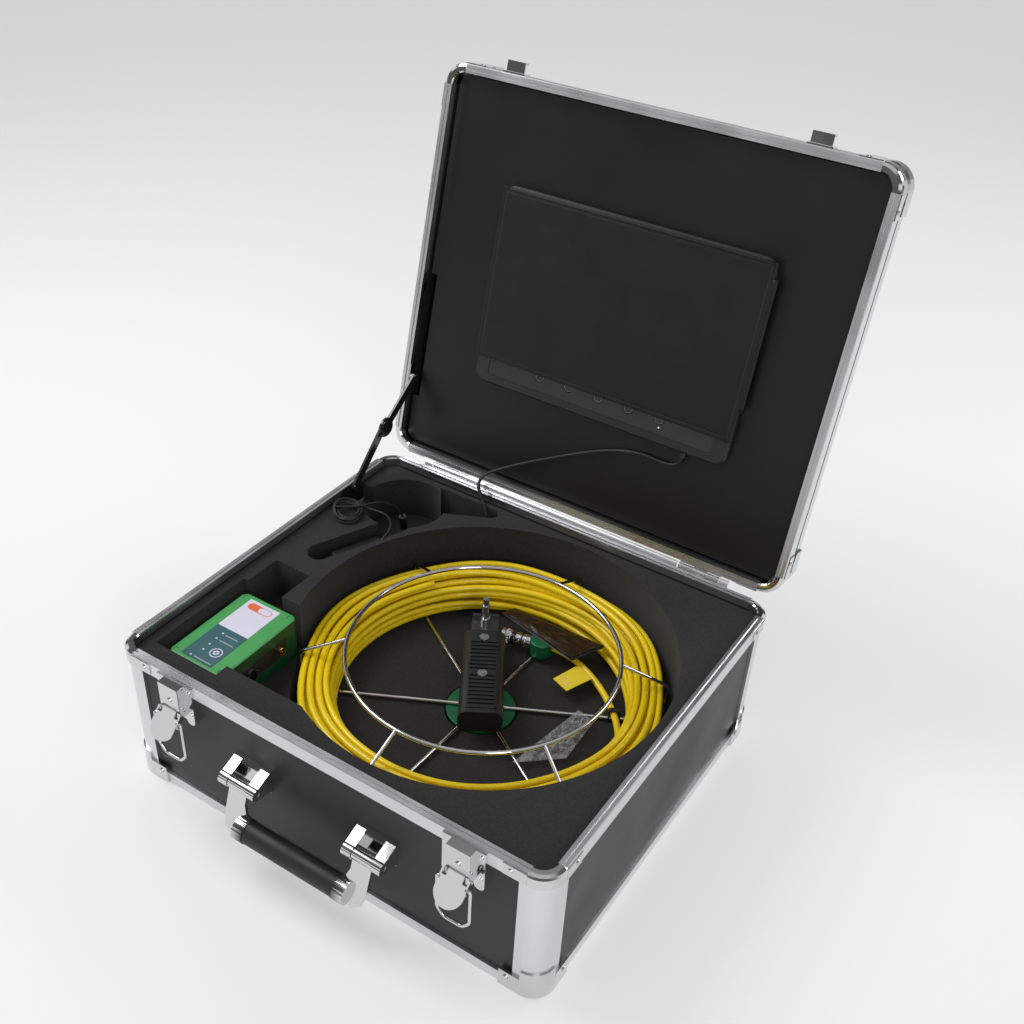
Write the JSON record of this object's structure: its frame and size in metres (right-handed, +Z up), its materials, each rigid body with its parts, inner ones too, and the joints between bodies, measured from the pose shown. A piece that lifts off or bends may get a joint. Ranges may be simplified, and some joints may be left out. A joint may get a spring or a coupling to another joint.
{
  "type": "pipe inspection camera kit",
  "caption": "Pipe inspection camera kit: open aluminium flight case with foam, cable reel with camera head, lid monitor with sunshade and green control box.",
  "frame": {"origin": "centre of the case's underside", "axes": "+X to the right seen from the latch side, +Y towards the hinge side, +Z up"},
  "size_m": [0.4678, 0.5866, 0.5646],
  "materials": {
    "panel_laminate": "satin black laminate",
    "aluminium_rail": "satin anodised",
    "chrome_corner": "polished",
    "steel_hardware": "bright",
    "foam": "matte foam",
    "black_plastic": "matte",
    "gloss_black": "gloss",
    "liner": "smooth dark lining",
    "flap": "grained",
    "screen": "dark glass",
    "green_shell": "semi gloss",
    "green_hub": "semi gloss",
    "label": "printed film",
    "yellow_cable": "glossy jacket",
    "yellow_label": "tape",
    "black_rubber": "matte",
    "green_collar": "gloss",
    "clear_glass": "clear",
    "bag_film": "thin film",
    "gold_socket": "gold plated",
    "battery_wrap": "shrink wrap"
  },
  "bodies": {
    "base": {"base_panels": "panel_laminate", "base_rim_rails": "aluminium_rail", "base_edge_rails": "aluminium_rail", "base_corners": "chrome_corner", "base_trim": "steel_hardware", "base_hinge_leaves": "steel_hardware", "hinge_band": "aluminium_rail", "foam_insert": "foam", "foam_plinth": "foam", "stay_base_mount": "steel_hardware", "latch_plates": "steel_hardware", "handle_brackets": "steel_hardware", "adapter_body": "black_plastic", "adapter_lead": "black_rubber", "adapter_lead_coil": "black_rubber", "adapter_lead_tail": "black_rubber", "adapter_lead_plug": "black_plastic"},
    "lid": {"lid_panels": "panel_laminate", "lid_rim_rails": "aluminium_rail", "lid_edge_rails": "aluminium_rail", "lid_corners": "chrome_corner", "lid_trim": "steel_hardware", "lid_hinge_leaves": "steel_hardware", "lid_catches": "steel_hardware", "lid_liner": "liner", "monitor_housing": "black_plastic", "monitor_fascia": "gloss_black", "monitor_screen": "screen", "monitor_cable": "black_rubber", "stay_lid_mount": "steel_hardware"},
    "stay_lower": {"stay_lower_link": "steel_hardware"},
    "stay_upper": {"stay_upper_link": "steel_hardware"},
    "latch_lever_left": {"latch_lever_left": "steel_hardware"},
    "latch_lever_right": {"latch_lever_right": "steel_hardware"},
    "latch_bail_left": {"latch_bail_left": "steel_hardware"},
    "latch_bail_right": {"latch_bail_right": "steel_hardware"},
    "handle": {"handle": "steel_hardware"},
    "sunshade": {"sunshade_flap": "flap"},
    "reel": {"reel_wires": "steel_hardware", "reel_hub": "green_hub", "push_cable_coil": "yellow_cable", "push_cable": "yellow_cable", "cable_collar": "green_collar", "camera_head": "steel_hardware", "camera_head_lens": "clear_glass", "cable_marks": "yellow_label", "parts_bags": "bag_film"},
    "grip": {"grip_body": "black_plastic", "grip_strap": "steel_hardware", "grip_fasteners": "steel_hardware"},
    "control_box": {"box_lower_shell": "green_shell", "box_upper_shell": "green_shell", "box_labels": "label", "box_sockets": "gold_socket", "box_battery": "battery_wrap"},
    "button_1": {"monitor_button_1": "gloss_black"},
    "button_2": {"monitor_button_2": "gloss_black"},
    "button_3": {"monitor_button_3": "gloss_black"},
    "button_4": {"monitor_button_4": "gloss_black"},
    "button_5": {"monitor_button_5": "gloss_black"}
  },
  "joints": [
    {"name": "lid_hinge", "type": "hinge", "parent": "base", "child": "lid", "pos_m": [0, 0.2075, 0.15625], "axis": [-1, 0, 0], "range_deg": [-104, 0], "deforming": ["monitor_cable"]},
    {"name": "stay_lower_hinge", "type": "hinge", "parent": "base", "child": "stay_lower", "pos_m": [-0.221, 0.128, 0.1505], "axis": [1, 0, 0], "range_deg": [-1, 128]},
    {"name": "stay_elbow_hinge", "type": "hinge", "parent": "stay_lower", "child": "stay_upper", "pos_m": [-0.219, 0.18008, 0.2015], "axis": [1, 0, 0], "range_deg": [-165, 1]},
    {"name": "handle_hinge", "type": "hinge", "parent": "base", "child": "handle", "pos_m": [-0.0055, -0.218, 0.084], "axis": [-1, 0, 0], "range_deg": [-24, 95]},
    {"name": "sunshade_hinge", "type": "hinge", "parent": "lid", "child": "sunshade", "pos_m": [0, 0.28359, 0.4544], "axis": [-1, 0, 0], "range_deg": [0, 110]},
    {"name": "reel_lift", "type": "slide", "parent": "base", "child": "reel", "axis": [0, 0, 1], "range_m": [0, 0.11]},
    {"name": "grip_turn", "type": "hinge", "parent": "reel", "child": "grip", "pos_m": [0.03, 0.005, 0.08], "axis": [0, 0, 1], "continuous": true},
    {"name": "control_box_lift", "type": "slide", "parent": "base", "child": "control_box", "axis": [0, 0, 1], "range_m": [0, 0.12]},
    {"name": "latch_lever_left_hinge", "type": "hinge", "parent": "base", "child": "latch_lever_left", "pos_m": [-0.157, -0.211, 0.125], "axis": [1, 0, 0], "range_deg": [-70, 10]},
    {"name": "latch_bail_left_hinge", "type": "hinge", "parent": "latch_lever_left", "child": "latch_bail_left", "pos_m": [-0.157, -0.21743, 0.11734], "axis": [-1, 0, 0], "range_deg": [0, 170]},
    {"name": "latch_lever_right_hinge", "type": "hinge", "parent": "base", "child": "latch_lever_right", "pos_m": [0.153, -0.211, 0.125], "axis": [1, 0, 0], "range_deg": [-70, 10]},
    {"name": "latch_bail_right_hinge", "type": "hinge", "parent": "latch_lever_right", "child": "latch_bail_right", "pos_m": [0.153, -0.21743, 0.11734], "axis": [-1, 0, 0], "range_deg": [0, 170]},
    {"name": "button_1_press", "type": "slide", "parent": "lid", "child": "button_1", "axis": [0, 0.9703, -0.2419], "range_m": [0, 0.0006], "stiffness_N_per_m": 300},
    {"name": "button_2_press", "type": "slide", "parent": "lid", "child": "button_2", "axis": [0, 0.9703, -0.2419], "range_m": [0, 0.0006], "stiffness_N_per_m": 300},
    {"name": "button_3_press", "type": "slide", "parent": "lid", "child": "button_3", "axis": [0, 0.9703, -0.2419], "range_m": [0, 0.0006], "stiffness_N_per_m": 300},
    {"name": "button_4_press", "type": "slide", "parent": "lid", "child": "button_4", "axis": [0, 0.9703, -0.2419], "range_m": [0, 0.0006], "stiffness_N_per_m": 300},
    {"name": "button_5_press", "type": "slide", "parent": "lid", "child": "button_5", "axis": [0, 0.9703, -0.2419], "range_m": [0, 0.0006], "stiffness_N_per_m": 300}
  ],
  "couplings": [
    {"joint": "stay_lower_hinge", "follows": "lid_hinge", "ratio": -1.2115},
    {"joint": "stay_elbow_hinge", "follows": "lid_hinge", "ratio": 1.5673}
  ]
}
